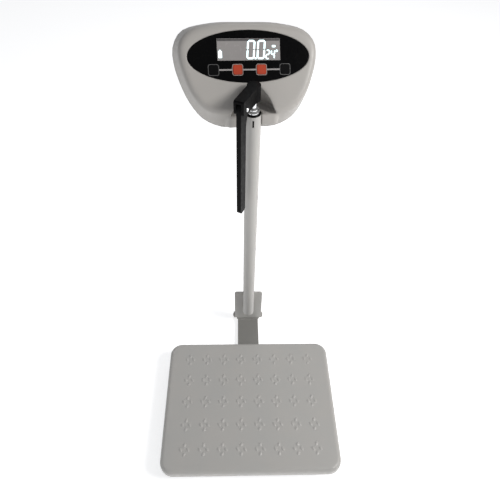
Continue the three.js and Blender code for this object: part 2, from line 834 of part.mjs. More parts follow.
function frontSkin(inset, depth0, depth1) {
  const radius = faceRound;
  const rounding = [0, 1, 2, 3, 4].map((step) => radius * (1 - Math.sin((step / 4) * 90 * degree)));
  const depths = [depth1, (depth1 + shellDepth / 3) / 2, shellDepth / 3, ...rounding];
  const levels = depths.map((depth) => {
    const points = headOutline(Math.min(1, depth / shellDepth), inset + roundInset(depth, radius));
    return { points, z: -(depth0 + (depth * (depth1 - depth0)) / depth1) };
  });
  return loft(levels);
}

function rearSkin(inset, depth0, depth1) {
  const straight = rearDepth - rearRound;
  const steps = 4;
  const levels = [];
  for (let step = steps; step >= 0; step -= 1) {
    const angle = (90 * step * degree) / steps;
    const shrink = rearTaper + (rearRound - inset / 2) * (1 - Math.cos(angle));
    const z = -(shellDepth + straight + (depth1 - shellDepth - straight) * Math.sin(angle));
    levels.push({ points: headOutline(1, inset + shrink), z });
  }
  levels.push({ points: headOutline(1, inset), z: -depth0 });
  return loft(levels);
}

// ---------------------------------------------------------------- display head placement

const headUpright = new THREE.Group();
headUpright.position.set(0, columnY, 0);
headUpright.rotation.z = headYaw * degree;
const headFace = new THREE.Group();
headFace.position.set(0, faceBack, faceHeight);
headFace.rotation.x = -headTilt * degree;
headFace.rotation.y = headRoll * degree;
headUpright.add(headFace);

// A solid drawn about the column axis, carried into the tilted frame of the face.
function intoFace(body) {
  headFace.updateMatrix();
  const matrix = headFace.matrix.clone().invert();
  return solid(geometryOf(body).applyMatrix4(matrix));
}

function scoop(grow) {
  const slope = (scoopRadius - scoopTopRadius) / scoopHeight;
  const floor = columnTop - grow;
  return cone(scoopRadius + grow * (1 + slope), scoopTopRadius + grow - slope * reach, floor,
    columnTop + scoopHeight + reach);
}

// Boss at the foot of the scoop, around the column: its side outline runs back from its front.
function bossBlock() {
  const top = columnTop;
  const outline = [[-bossFront, top], [-bossFront, top - bossDrop + bossEdge],
    [-bossFront + bossEdge, top - bossDrop], [columnRadius + bossEdge, top - bossRearDrop],
    [bossBack, top - bossRearDrop], [bossBack, top]];
  const points = outline.map(([y, z]) => new THREE.Vector2(y, z));
  const slab = acrossX(points, -bossWidth / 2, bossWidth / 2);
  const depth = bossFront + bossBack;
  const plan = prism(roundedRectangle(bossWidth, depth, bossRound), top - 2 * bossRearDrop, top + bite);
  return slab.intersect(placed(plan, alongZ, at(0, depth / 2 - bossFront, 0)));
}

function headScrewHeights() {
  return [columnTop - headScrewDrop - headScrewPitch, columnTop - headScrewDrop];
}

// Holes for the screws that hold the head on the column, drawn where the turned head has them.
function headScrewHole(z) {
  const direction = at(-Math.sin(headYaw * degree), Math.cos(headYaw * degree), 0);
  const hole = screwHole(columnBore - bite, columnRadius + reach, smallScrewRadius + gap);
  return placed(hole, direction, at(0, columnY, z));
}

function columnBoreCut() {
  return cylinder(columnRadius + gap, columnTop - 4 * bossRearDrop, columnTop + reach, 32);
}

function keyCentres() {
  return [-1.5, -0.5, 0.5, 1.5].map((place) => place * keyPitch);
}

// Slab of an outline in the face's frame, from one depth to another.
function faceSlab(points, across, up, depth0, depth1) {
  const moved = points.map((point) => new THREE.Vector2(point.x + across, point.y + up));
  return standUp(prism(moved, -depth1, -depth0));
}

function rectangleSlab(width, height, corner, across, up, depth0, depth1) {
  return faceSlab(roundedRectangle(width, height, corner, 3), across, up, depth0, depth1);
}

// Round peg in the face's frame.
function facePeg(radius, [across, up], depth0, depth1) {
  return faceSlab(ellipse(2 * radius, 2 * radius, 16), across, up, depth0, depth1);
}

function faceOpenings() {
  const clear = 2 * slack;
  let cut = rectangleSlab(lcdWidth + clear, lcdHeight + clear, 1, 0, lcdLift, -reach, faceWall + bite);
  for (const across of keyCentres()) {
    cut = cut.add(rectangleSlab(keySize + clear, keySize + clear, keyCorner, across, -keyDrop,
      -reach, faceWall + bite));
  }
  return cut;
}

function headFrontShell() {
  const outer = standUp(frontSkin(0, 0, shellDepth));
  const hollow = standUp(frontSkin(headWall, faceWall, shellDepth + bite));
  const cavity = hollow.subtract(intoFace(scoop(headWall)));
  const kept = rectangleSlab(4 * bossWidth, 4 * bossWidth, 1, 0, 0, -reach, shellDepth);
  let shell = outer.subtract(cavity).add(intoFace(bossBlock()).intersect(kept));
  for (const place of postPlaces) {
    const post = facePeg(shellPostRadius, place, faceWall - bite, shellDepth);
    const hole = facePeg(smallScrewRadius + gap, place, shellDepth - shellScrewLength, shellDepth + bite);
    shell = shell.add(post).subtract(hole);
  }
  shell = shell.subtract(intoFace(scoop(0))).subtract(intoFace(columnBoreCut()));
  shell = shell.subtract(faceSlab(ellipse(fasciaWidth + gap * 2, fasciaHeight + gap * 2), 0, 0,
    -reach, fasciaThick - fasciaProud + gap));
  shell = shell.subtract(faceOpenings());
  for (const z of headScrewHeights()) {
    const hole = cylinder(smallScrewRadius + slack, 0, 3 * columnRadius, 16);
    const headRoom = cylinder(smallScrewHead + 2 * slack, columnRadius + headScrewSeat, 4 * columnRadius, 16);
    shell = shell.subtract(intoFace(placed(hole.add(headRoom), alongY, at(0, 0, z))));
  }
  return piece('head_front_shell', shell, whitePlastic);
}

function doorSize() {
  return [batteryWidth + doorMargin, batteryHeight + doorMargin];
}

// Hole under the head where the cable leaves it, straight down behind the column.
function cableHole() {
  const hole = cylinder(cableRadius + 2 * slack, columnBottom, columnTop - cableHoleDrop, 16);
  const place = at(cableSide, cableBehind, 0).applyAxisAngle(alongZ, -headYaw * degree);
  return placed(hole, alongZ, place);
}

function headRearShell() {
  const front = shellDepth + gap;
  const outer = standUp(rearSkin(0, front, rearBack));
  const cavity = standUp(rearSkin(headWall, front - bite, rearBack - headWall));
  let shell = outer.subtract(cavity);
  for (const place of postPlaces) {
    const post = facePeg(shellPostRadius, place, front, rearBack - bite);
    const hole = facePeg(smallScrewRadius + slack, place, front - bite, rearBack + bite);
    const headRoom = facePeg(smallScrewHead + slack, place, front + postSeat, rearBack + bite);
    shell = shell.add(post).subtract(hole).subtract(headRoom);
  }
  const inside = rearBack - 2 * headWall;
  const [wide, high] = doorSize();
  shell = shell.subtract(rectangleSlab(wide + 2 * slack, high + 2 * slack, doorCorner, 0, batteryUp,
    inside, rearBack + reach));
  shell = shell.subtract(facePeg(socketRadius + slack, socketPlace, inside, rearBack + reach));
  shell = shell.subtract(intoFace(cableHole())).subtract(intoFace(columnBoreCut()));
  return piece('head_rear_shell', shell, whitePlastic);
}

// ---------------------------------------------------------------- display head contents

function fasciaPanel() {
  const top = -fasciaProud;
  const back = fasciaThick - fasciaProud;
  let panel = faceSlab(ellipse(fasciaWidth, fasciaHeight), 0, 0, top, back);
  panel = panel.subtract(faceOpenings());
  return piece('fascia_panel', panel, blackGloss);
}

function lcdModule() {
  const front = rectangleSlab(lcdWidth, lcdHeight, gap, 0, lcdLift, 0, lcdBack - bite);
  const rim = rectangleSlab(lcdWidth + 2 * lcdRim, lcdHeight + 2 * lcdRim, gap, 0, lcdLift,
    faceWall + gap + bite, lcdBack);
  return piece('lcd_module', front.add(rim), greyGlass);
}

function keys() {
  return keyCentres().map((across, index) => {
    const cap = rectangleSlab(keySize, keySize, keyCorner - slack, across, -keyDrop,
      -keyProud, keyFlangeFront + bite);
    const wide = keySize + 2 * keyFlangeEdge;
    const flange = rectangleSlab(wide, wide, bite, across, -keyDrop,
      keyFlangeFront, keyFlangeFront + keyFlangeThick);
    const stem = rectangleSlab(keyStem, keyStem, bite, across, -keyDrop, keyFlangeFront,
      boardFront - keyTravel - gap);
    const inner = index === 1 || index === 2;
    return piece(`key_${index + 1}`, cap.add(flange).add(stem), inner ? redKey : blackPlastic);
  });
}

function mainBoard() {
  const back = boardFront + boardThick;
  const board = rectangleSlab(boardWidth, boardHeight, bite, 0, boardUp, boardFront, back);
  const parts = rectangleSlab(boardWidth / 3, boardHeight / 3, bite, boardWidth / 8, 0,
    back - boardThick / 2, back + partsHeight);
  return piece('main_board', board.add(parts), boardGreen);
}

function batteryPack() {
  const back = rearBack - headWall - gap;
  const body = rectangleSlab(batteryWidth - doorMargin, batteryHeight, batteryRound, 0, batteryUp,
    back - batteryDepth, back);
  return piece('battery_pack', body, batteryShrink);
}

function batteryDoor() {
  const [wide, high] = doorSize();
  const body = rectangleSlab(wide, high, doorCorner - slack, 0, batteryUp, rearBack - headWall, rearBack);
  return piece('battery_door', body, whitePlastic);
}

function powerSocket() {
  const end = -rearBack + socketDepth;
  const barrel = ring(socketBore, socketRadius, -rearBack - bite, end, 20);
  const floor = cylinder(socketRadius, end - socketFloor, end, 20);
  const pin = cylinder(socketPin, -rearBack + bite, end, 12);
  const body = placed(barrel.add(floor).add(pin), alongZ, at(...socketPlace, 0));
  return piece('power_socket', standUp(body), blackPlastic);
}

function shellScrews() {
  return postPlaces.map(([across, up], index) => {
    const shape = screwShape(smallScrewRadius, shellScrewLength, smallScrewHead, smallHeadHeight);
    const seat = shellDepth + gap + postSeat + gap;
    return piece(`shell_screw_${index + 1}`, placed(shape, alongY, at(across, seat, up)), zinc);
  });
}

function headScrews() {
  return headScrewHeights().map((z, index) => {
    const length = headScrewSeat + columnWall;
    const shape = screwShape(smallScrewRadius, length, smallScrewHead, smallHeadHeight);
    const seat = at(0, columnRadius + headScrewSeat + gap, z);
    return piece(`head_screw_${index + 1}`, intoFace(placed(shape, alongY, seat)), zinc);
  });
}

// ---------------------------------------------------------------- signal cable

const cableTurn = stripBend + plateThick + cableRadius + grommetWall;
const cableFloor = cableRadius + 1.4;
const runTop = columnTop - 140;
const runBottom = plateTop + 60;
const grommetLow = panBottom - grommetRim;
const grommetHigh = panInside + grommetRim;

// From the board in the head, out under its rear shell and in against the column.
function cableInHead() {
  const exitY = columnY + cableBehind;
  const scoopBack = columnY + scoopRadius + headWall + 6;
  return [
    at(cableSide + 8, scoopBack - 2, columnTop + 36), at(cableSide + 7, scoopBack + 1, columnTop + 20),
    at(cableSide + 5, scoopBack, columnTop + 4), at(cableSide + 3, scoopBack - 6, columnTop - 9),
    at(cableSide + 1, exitY + 4.5, columnTop - 18), at(cableSide, exitY + 0.5, columnTop - 29),
    at(cableSide, exitY, columnTop - 40), at(cableSide, exitY - 0.5, columnTop - 52),
    at(cableSide, exitY - 4, columnTop - 72), at(cableSide, cableBack + 1.5, columnTop - 102),
    at(cableSide, cableBack, runTop), at(cableSide, cableBack, runTop - 4),
  ];
}

// Behind the plate, round its foot and forward under the strip to the hole in the pan.
function cableUnderStrip() {
  const bendY = plateBack - stripBend - plateThick;
  const bendZ = stripLift + stripBend + plateThick;
  const slant = cableTurn * Math.SQRT1_2;
  const backY = bendY + cableTurn;
  const { x, y } = grommetPlace;
  return [
    at(cableSide, cableBack, runBottom + 4), at(cableSide, cableBack, runBottom),
    at(cableSide, (cableBack + backY) / 2, plateTop + 32), at(cableSide, backY, plateTop + 4),
    at(cableSide, backY, plateTop - 50), at(cableSide, backY, bendZ + 20), at(cableSide, backY, bendZ),
    at(cableSide, bendY + slant, bendZ - slant), at(cableSide, bendY, bendZ - cableTurn),
    at(cableSide, bendY - 30, cableFloor), at((cableSide + x) / 2, y + 70, cableFloor),
    at(x, y + 32, cableFloor), at(x, y + 8, cableFloor), at(x, y + 2.4, cableFloor + 2.4),
    at(x, y, grommetLow - 0.5), at(x, y, grommetLow + 0.5),
  ];
}

function cableInPan() {
  const { x, y } = grommetPlace;
  const side = cellWidth / 2 + cableRadius + 1;
  return [
    at(x, y, grommetHigh - 0.5), at(x, y, grommetHigh + 0.5), at(x - 1, y - 3, grommetHigh + 7),
    at(x - 8, y - 18, panInside + 14),
    at(side + 5, (y - 38 + cellLength / 2) / 2, panInside + 15),
    at(side, cellLength / 2 - 20, panInside + 15), at(side, cellLength / 2 - 30, panInside + 15),
  ];
}

function tubeAlong(points, steps) {
  const section = new THREE.Shape(ellipse(2 * cableRadius, 2 * cableRadius, 8));
  const path = new THREE.CatmullRomCurve3(points, false, 'centripetal');
  return solid(new THREE.ExtrudeGeometry(section, { steps, bevelEnabled: false, extrudePath: path }));
}

function signalCable() {
  const column = tubeAlong([at(cableSide, cableBack, runTop), at(cableSide, cableBack, runBottom)], 1);
  const hole = tubeAlong([at(grommetPlace.x, grommetPlace.y, grommetLow),
    at(grommetPlace.x, grommetPlace.y, grommetHigh)], 1);
  const cable = tubeAlong(cableInHead(), 28).add(column).add(tubeAlong(cableUnderStrip(), 56));
  return piece('signal_cable', cable.add(hole).add(tubeAlong(cableInPan(), 14)), blackPlastic);
}

function cableGrommet() {
  const bore = cableRadius + slack;
  const rim = grommetNeck + grommetWall;
  const low = panBottom - grommetRim;
  const high = panInside + grommetRim;
  const body = turned([[bore, low], [rim, low], [rim, panBottom - gap], [grommetNeck, panBottom - gap],
    [grommetNeck, panInside + gap], [rim, panInside + gap], [rim, high], [bore, high], [bore, low]], 16);
  return piece('cable_grommet', placed(body, alongZ, grommetPlace), rubber);
}

// Saddles stuck on the back of the column, which hold the cable.
function cableClips() {
  const heights = [columnTop - 200, plateTop + 120];
  return heights.map((z, index) => {
    const half = cableRadius + clipEdge;
    let clip = block(cableSide - half, cableSide + half, columnY + columnRadius / 2, cableBack + half,
      z - clipHeight / 2, z + clipHeight / 2);
    clip = clip.subtract(onColumn(cylinder(columnRadius + gap, z - reach, z + reach, 32)));
    const hole = cylinder(cableRadius + slack, z - reach, z + reach, 16);
    clip = clip.subtract(placed(hole, alongZ, at(cableSide, cableBack, 0)));
    return piece(`cable_clip_${index + 1}`, clip, greyPlastic);
  });
}

// ---------------------------------------------------------------- assembly

function armAssembly() {
  const group = new THREE.Group();
  group.position.set(0, columnY, 0);
  group.rotation.z = bracketYaw * degree;
  group.add(armBracket(), armPin(), measuringArm());
  return group;
}

function headAssembly() {
  headFace.add(headFrontShell(), headRearShell(), fasciaPanel(), lcdModule(), mainBoard(), ...keys());
  headFace.add(batteryPack(), batteryDoor(), powerSocket(), ...shellScrews(), ...headScrews());
  return headUpright;
}

function baseAssembly() {
  const group = new THREE.Group();
  group.add(platformCover(), ...coverPads(), platformFrame(), loadCell(), basePan(), ...feet());
  group.add(spacer('upper_spacer', 1, upperSpacerTop), spacer('lower_spacer', -1, lowerSpacerTop));
  group.add(...loadCellScrews(), columnBracket(), ...bracketScrews(), ...rollers());
  return group;
}

function columnAssembly() {
  const group = new THREE.Group();
  group.add(columnTube(), columnPlug(), ...columnBolts());
  group.add(bush('column_top_bush', columnRadius, columnBore, columnTop, blackPlastic));
  group.add(section('lower_rod', lowerOuter, lowerInner, columnBore, rodBottom, lowerTop));
  group.add(bush('lower_rod_bush', lowerOuter, lowerInner, lowerTop, greyPlastic));
  group.add(section('middle_rod', middleOuter, middleInner, lowerInner, rodBottom, middleTop));
  group.add(bush('middle_rod_bush', middleOuter, middleInner, middleTop, greyPlastic));
  group.add(upperRod(), upperGlide(), signalCable(), cableGrommet(), ...cableClips());
  return group;
}

function centred(model) {
  const scale = new THREE.Group();
  scale.add(model);
  const box = new THREE.Box3().setFromObject(scale, true);
  model.position.set(-(box.min.x + box.max.x) / 2, -(box.min.y + box.max.y) / 2, -box.min.z);
  return scale;
}

const model = new THREE.Group();
model.add(baseAssembly(), columnAssembly(), armAssembly(), headAssembly());

export default centred(model);
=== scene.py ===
"""Looks of the electronic body scale: fine meshes, materials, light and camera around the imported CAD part."""
import json
import math

import bmesh
import bpy
from mathutils import Matrix, Vector


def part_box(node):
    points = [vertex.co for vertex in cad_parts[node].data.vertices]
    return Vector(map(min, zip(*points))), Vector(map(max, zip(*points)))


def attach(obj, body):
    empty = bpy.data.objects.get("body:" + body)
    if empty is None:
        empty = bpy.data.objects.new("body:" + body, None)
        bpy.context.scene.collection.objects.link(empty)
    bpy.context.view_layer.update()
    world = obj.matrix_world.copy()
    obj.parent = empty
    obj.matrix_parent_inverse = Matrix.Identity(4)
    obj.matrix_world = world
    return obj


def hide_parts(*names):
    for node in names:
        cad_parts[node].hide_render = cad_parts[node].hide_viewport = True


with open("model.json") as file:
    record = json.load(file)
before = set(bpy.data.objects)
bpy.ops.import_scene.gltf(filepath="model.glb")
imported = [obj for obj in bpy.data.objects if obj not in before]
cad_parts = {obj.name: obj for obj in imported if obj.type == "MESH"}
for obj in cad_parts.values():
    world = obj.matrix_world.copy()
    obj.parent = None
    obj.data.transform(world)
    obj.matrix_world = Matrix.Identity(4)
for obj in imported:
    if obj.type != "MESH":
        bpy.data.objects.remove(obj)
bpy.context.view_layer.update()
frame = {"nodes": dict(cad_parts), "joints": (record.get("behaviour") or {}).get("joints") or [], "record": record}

MM = 0.001
NODES = frame["nodes"]
SLOT_OF = {part["node"]: part["material_slot"] for part in frame["record"]["subparts"]}
BODY_OF = {node: body for body, nodes in frame["record"]["behaviour"]["bodies"].items() for node in nodes}


def middle(node):
    low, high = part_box(node)
    return (low + high) / 2


# ---------------------------------------------------------------- camera, light and floor

CAMERA_OFFSET = (-26.2, -439.3, 1063.6)          # millimetres from the middle of the platform's top
CAMERA_PITCH, CAMERA_YAW, CAMERA_ROLL = 49.28, 2.24, 1.49
SENSOR_WIDTH, FOCAL_LENGTH = 36, 33.12
LIGHTS = (
    {"name": "key_light", "place": (1.6, -0.5, 1.9), "target": (0, 0.1, 0.4), "size": 0.9, "power": 36,
     "colour": (1, 0.985, 0.965)},
    {"name": "fill_light", "place": (-1.6, -1.4, 1.7), "target": (0, 0, 0.3), "size": 1.8, "power": 4,
     "colour": (0.95, 0.98, 1)},
    {"name": "back_light", "place": (0.3, 1.7, 1.9), "target": (0, 0.1, 0.5), "size": 1.4, "power": 5,
     "colour": (1, 1, 1)},
)
SKY_COLOUR, SKY_STRENGTH = (0.93, 0.95, 1), 0.3
FLOOR_COLOUR, FLOOR_ROUGHNESS, FLOOR_GLOW = (0.9, 0.9, 0.9), 0.9, 0.6
FLOOR_HALF = 30                                  # metres from the middle to each side


def platform_middle():
    low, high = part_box("platform_cover")
    return Vector(((low.x + high.x) / 2, (low.y + high.y) / 2, high.z))


def add_camera():
    """Camera above the user's side, placed from the middle of the platform's top."""
    offset = Vector(CAMERA_OFFSET) * MM
    pitch, yaw, roll = (math.radians(angle) for angle in (CAMERA_PITCH, CAMERA_YAW, CAMERA_ROLL))
    data = bpy.data.cameras.new("camera")
    data.sensor_width = SENSOR_WIDTH
    data.lens = FOCAL_LENGTH
    camera = bpy.data.objects.new("camera", data)
    bpy.context.scene.collection.objects.link(camera)
    place = Matrix.Translation(platform_middle() + offset)
    turn = Matrix.Rotation(-yaw, 4, "Z") @ Matrix.Rotation(math.pi / 2 - pitch, 4, "X")
    camera.matrix_world = place @ turn @ Matrix.Rotation(roll, 4, "Z")
    bpy.context.scene.camera = camera


def add_area_light(name, place, target, size, power, colour):
    data = bpy.data.lights.new(name, "AREA")
    data.shape = "DISK"
    data.size = size
    data.energy = power
    data.color = colour
    light = bpy.data.objects.new(name, data)
    bpy.context.scene.collection.objects.link(light)
    light.location = place
    light.rotation_euler = (Vector(target) - Vector(place)).to_track_quat("-Z", "Y").to_euler()


def add_lights():
    for light in LIGHTS:
        add_area_light(**light)
    world = bpy.data.worlds.new("studio")
    world.use_nodes = True
    background = world.node_tree.nodes["Background"]
    background.inputs["Color"].default_value = (*SKY_COLOUR, 1)
    background.inputs["Strength"].default_value = SKY_STRENGTH
    bpy.context.scene.world = world
    bpy.context.scene.view_settings.view_transform = "Standard"


def add_floor():
    material = bpy.data.materials.new("floor")
    material.use_nodes = True
    shader = material.node_tree.nodes["Principled BSDF"]
    shader.inputs["Base Color"].default_value = (*FLOOR_COLOUR, 1)
    shader.inputs["Roughness"].default_value = FLOOR_ROUGHNESS
    shader.inputs["Emission Color"].default_value = (1, 1, 1, 1)
    shader.inputs["Emission Strength"].default_value = FLOOR_GLOW
    mesh = bpy.data.meshes.new("floor")
    corners = [(x * FLOOR_HALF, y * FLOOR_HALF, 0) for x, y in ((-1, -1), (1, -1), (1, 1), (-1, 1))]
    mesh.from_pydata(corners, [], [(0, 1, 2, 3)])
    mesh.materials.append(material)
    floor = bpy.data.objects.new("floor", mesh)
    bpy.context.scene.collection.objects.link(floor)


# ---------------------------------------------------------------- materials

BROAD_SIZE = 55                  # colour drift, millimetres across
BLOTCH_SIZE = 6                  # uneven gloss
GLOW_SIZE = 14                   # unevenness of a lit part
GLOW_DRIFT = 0.08
GLOW_ROUGHNESS = 0.3
COAT_ROUGHNESS = 0.12
STRIP_TOP, PLATE_FOOT = 14, 21   # heights between which the bracket's colour turns from dark grey below to white above


class Graph:
    """Short names for the nodes of one material."""

    def __init__(self, name):
        self.material = bpy.data.materials.new(name)
        self.material.use_nodes = True
        self.tree = self.material.node_tree
        self.shader = self.tree.nodes["Principled BSDF"]
        self.place = self.tree.nodes.new("ShaderNodeTexCoord").outputs["Object"]

    def link(self, output, node, name):
        self.tree.links.new(output, node.inputs[name])

    def noise(self, size, detail=3.0, stretch=(1, 1, 1)):
        """Noise whose features are about `size` millimetres across."""
        mapping = self.tree.nodes.new("ShaderNodeMapping")
        mapping.inputs["Scale"].default_value = stretch
        self.link(self.place, mapping, "Vector")
        noise = self.tree.nodes.new("ShaderNodeTexNoise")
        noise.inputs["Scale"].default_value = 1 / (size * MM)
        noise.inputs["Detail"].default_value = detail
        self.link(mapping.outputs["Vector"], noise, "Vector")
        return noise.outputs["Fac"]

    def spread(self, value, low, high, start=0.3, end=0.7):
        """The value's range from start to end, carried to low and high."""
        ranged = self.tree.nodes.new("ShaderNodeMapRange")
        self.link(value, ranged, "Value")
        for name, number in (("From Min", start), ("From Max", end), ("To Min", low), ("To Max", high)):
            ranged.inputs[name].default_value = number
        return ranged.outputs["Result"]

    def blend(self, value, colour, other):
        mix = self.tree.nodes.new("ShaderNodeMix")
        mix.data_type = "RGBA"
        self.tree.links.new(value, mix.inputs[0])
        mix.inputs[6].default_value = (*colour, 1)
        mix.inputs[7].default_value = (*other, 1)
        return mix.outputs[2]

    def bump(self, value, depth, below=None):
        """Bump of `depth` millimetres, on top of another bump."""
        bump = self.tree.nodes.new("ShaderNodeBump")
        bump.inputs["Strength"].default_value = 1
        bump.inputs["Distance"].default_value = depth * MM
        self.link(value, bump, "Height")
        if below is not None:
            self.link(below, bump, "Normal")
        return bump.outputs["Normal"]


def finish(name, colour, worn, rough, metal=0.0, grain=(0.8, 0.02), ripple=(9, 0.02), coat=0.0,
           stretch=(1, 1, 1), specular=0.5):
    """A material with a fine grain, a broad ripple, uneven gloss and a colour that drifts to its worn tone.

    `rough` is the lowest and highest roughness. `grain` and `ripple` are each a size and a depth, in
    millimetres.
    """
    graph = Graph(name)
    broad = graph.noise(BROAD_SIZE, 4)
    fine = graph.noise(grain[0], 2, stretch)
    blotch = graph.noise(BLOTCH_SIZE, 5, stretch)
    graph.link(graph.blend(graph.spread(broad, 0, 1), colour, worn), graph.shader, "Base Color")
    graph.link(graph.spread(blotch, rough[0], rough[1]), graph.shader, "Roughness")
    graph.shader.inputs["Metallic"].default_value = metal
    graph.shader.inputs["Specular IOR Level"].default_value = specular
    graph.shader.inputs["Coat Weight"].default_value = coat
    graph.shader.inputs["Coat Roughness"].default_value = COAT_ROUGHNESS
    wave = graph.bump(graph.noise(ripple[0], 1), ripple[1])
    graph.link(graph.bump(fine, grain[1], wave), graph.shader, "Normal")
    return graph.material


def glowing(name, colour, glow, strength):
    """Lit parts of the display: a grain in the glow, so that no area is perfectly even."""
    graph = Graph(name)
    graph.shader.inputs["Base Color"].default_value = (*colour, 1)
    graph.shader.inputs["Roughness"].default_value = GLOW_ROUGHNESS
    graph.shader.inputs["Emission Color"].default_value = (*glow, 1)
    drift = graph.spread(graph.noise(GLOW_SIZE, 2), strength * (1 - GLOW_DRIFT), strength * (1 + GLOW_DRIFT))
    graph.link(drift, graph.shader, "Emission Strength")
    return graph.material


MATERIALS = {
    "white_paint": finish("white_paint", (0.47, 0.455, 0.43), (0.452, 0.445, 0.425), (0.36, 0.5),
                          grain=(1.1, 0.012), ripple=(4, 0.02)),
    "white_plastic": finish("white_plastic", (0.40, 0.38, 0.355), (0.385, 0.368, 0.345), (0.38, 0.52),
                            grain=(0.5, 0.015), ripple=(16, 0.03)),
    "black_plastic": finish("black_plastic", (0.0022, 0.0022, 0.0024), (0.0038, 0.0038, 0.004), (0.38, 0.54),
                            grain=(0.4, 0.02), ripple=(7, 0.02), specular=0.06),
    "black_gloss": finish("black_gloss", (0.0015, 0.0015, 0.0016), (0.0025, 0.0025, 0.0026), (0.2, 0.3),
                          grain=(0.6, 0.002), ripple=(20, 0.01), specular=0.07),
    "display_glass": finish("display_glass", (0.30, 0.285, 0.275), (0.27, 0.255, 0.25), (0.2, 0.3),
                            grain=(0.3, 0.002), ripple=(20, 0.005), specular=0.3),
    "red_key": finish("red_key", (0.44, 0.05, 0.017), (0.36, 0.04, 0.014), (0.4, 0.52),
                      grain=(0.35, 0.015), ripple=(5, 0.02), specular=0.25),
    "chrome": finish("chrome", (0.78, 0.79, 0.80), (0.70, 0.71, 0.72), (0.06, 0.16), metal=1.0,
                     grain=(0.5, 0.002), ripple=(3, 0.008), stretch=(1, 1, 0.15)),
    "zinc": finish("zinc", (0.55, 0.56, 0.57), (0.42, 0.43, 0.42), (0.28, 0.5), metal=1.0, grain=(0.3, 0.01)),
    "steel": finish("steel", (0.22, 0.225, 0.23), (0.17, 0.17, 0.172), (0.45, 0.65), metal=0.35,
                    grain=(0.7, 0.02)),
    "aluminium": finish("aluminium", (0.62, 0.63, 0.64), (0.52, 0.53, 0.54), (0.25, 0.45), metal=1.0,
                        grain=(0.35, 0.01), stretch=(1, 0.1, 1)),
    "rubber": finish("rubber", (0.02, 0.02, 0.021), (0.035, 0.034, 0.033), (0.7, 0.9), grain=(0.8, 0.05)),
    "grey_plastic": finish("grey_plastic", (0.27, 0.27, 0.265), (0.22, 0.22, 0.215), (0.45, 0.62),
                           grain=(0.5, 0.02)),
    "circuit_board": finish("circuit_board", (0.02, 0.13, 0.06), (0.03, 0.17, 0.08), (0.3, 0.5),
                            grain=(0.6, 0.02), coat=0.3),
    "battery_wrap": finish("battery_wrap", (0.03, 0.06, 0.2), (0.04, 0.08, 0.24), (0.22, 0.36),
                           grain=(2, 0.05), coat=0.3),
}


def bracket_paint():
    """White paint on the plate, turning dark grey below a set height on the strip along the floor."""
    graph = Graph("bracket_paint")
    apart = graph.tree.nodes.new("ShaderNodeSeparateXYZ")
    graph.link(graph.place, apart, "Vector")
    # mask by height alone: dark grey below STRIP_TOP, white above PLATE_FOOT
    coat = graph.spread(apart.outputs["Z"], 1, 0, STRIP_TOP * MM, PLATE_FOOT * MM)
    graph.link(graph.blend(coat, (0.50, 0.49, 0.465), (0.25, 0.245, 0.23)), graph.shader, "Base Color")
    graph.link(graph.spread(graph.noise(BLOTCH_SIZE, 5), 0.36, 0.52), graph.shader, "Roughness")
    wave = graph.bump(graph.noise(5, 1), 0.02)
    graph.link(graph.bump(graph.noise(1.1, 2), 0.012, wave), graph.shader, "Normal")
    return graph.material


BRACKET_PAINT = bracket_paint()
LIT_DIGITS = glowing("lit_digits", (0.7, 0.8, 0.8), (0.72, 0.97, 1.0), 1.15)
# painted shade: a dark grey sheet in place of the shade the recess casts along the top of the glass
LCD_PAINTED_SHADE = finish("display_shade", (0.09, 0.085, 0.085), (0.075, 0.07, 0.07), (0.25, 0.35),
                 grain=(0.3, 0.002))
PRINT_GREY = finish("print_grey", (0.085, 0.083, 0.083), (0.065, 0.063, 0.063), (0.35, 0.5),
                    grain=(0.3, 0.004))
PRINT_LIGHT = finish("print_light", (0.32, 0.24, 0.22), (0.27, 0.2, 0.18), (0.35, 0.5), grain=(0.3, 0.004))
PRINT_LINE = finish("print_line", (0.33, 0.31, 0.30), (0.29, 0.27, 0.265), (0.35, 0.5), grain=(0.3, 0.004))


# ---------------------------------------------------------------- mesh helpers

MERGE_REACH = 0.002              # millimetres
FLAT_TURN = 0.4                  # degrees between faces that are one flat face
HARD_TURN = 38                   # and between faces whose edge is rounded


def new_piece(name, bm, material, body, smooth_angle=40):
    """Makes an object of a finished bmesh, which rides on a body."""
    bmesh.ops.recalc_face_normals(bm, faces=bm.faces)
    for face in bm.faces:
        face.smooth = True
    mesh = bpy.data.meshes.new(name)
    bm.to_mesh(mesh)
    bm.free()
    mesh.set_sharp_from_angle(angle=math.radians(smooth_angle))
    mesh.materials.append(material)
    piece = bpy.data.objects.new(name, mesh)
    bpy.context.scene.collection.objects.link(piece)
    weighted = piece.modifiers.new("weighted_normals", "WEIGHTED_NORMAL")
    weighted.keep_sharp = True
    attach(piece, body)
    return piece


def merged_copy(node):
    """The CAD node's shape with shared vertices and whole flat faces."""
    bm = bmesh.new()
    bm.from_mesh(NODES[node].data)
    bmesh.ops.remove_doubles(bm, verts=bm.verts, dist=MERGE_REACH * MM)
    bmesh.ops.dissolve_limit(bm, angle_limit=math.radians(FLAT_TURN), verts=bm.verts, edges=bm.edges)
    return bm


def soften(bm, radius):
    """Rounds every hard edge of the shape."""
    limit = math.radians(HARD_TURN)
    sharp = [edge for edge in bm.edges if len(edge.link_faces) == 2 and edge.calc_face_angle(0) > limit]
    bmesh.ops.bevel(bm, geom=sharp, offset=radius * MM, segments=2, profile=0.5, affect="EDGES",
                    clamp_overlap=True)


def softened(node, radius, material):
    """A fine piece in place of a CAD node: the same shape with its hard edges rounded."""
    bm = merged_copy(node)
    if radius:
        soften(bm, radius)
    piece = new_piece("fine_" + node, bm, material, BODY_OF[node])
    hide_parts(node)


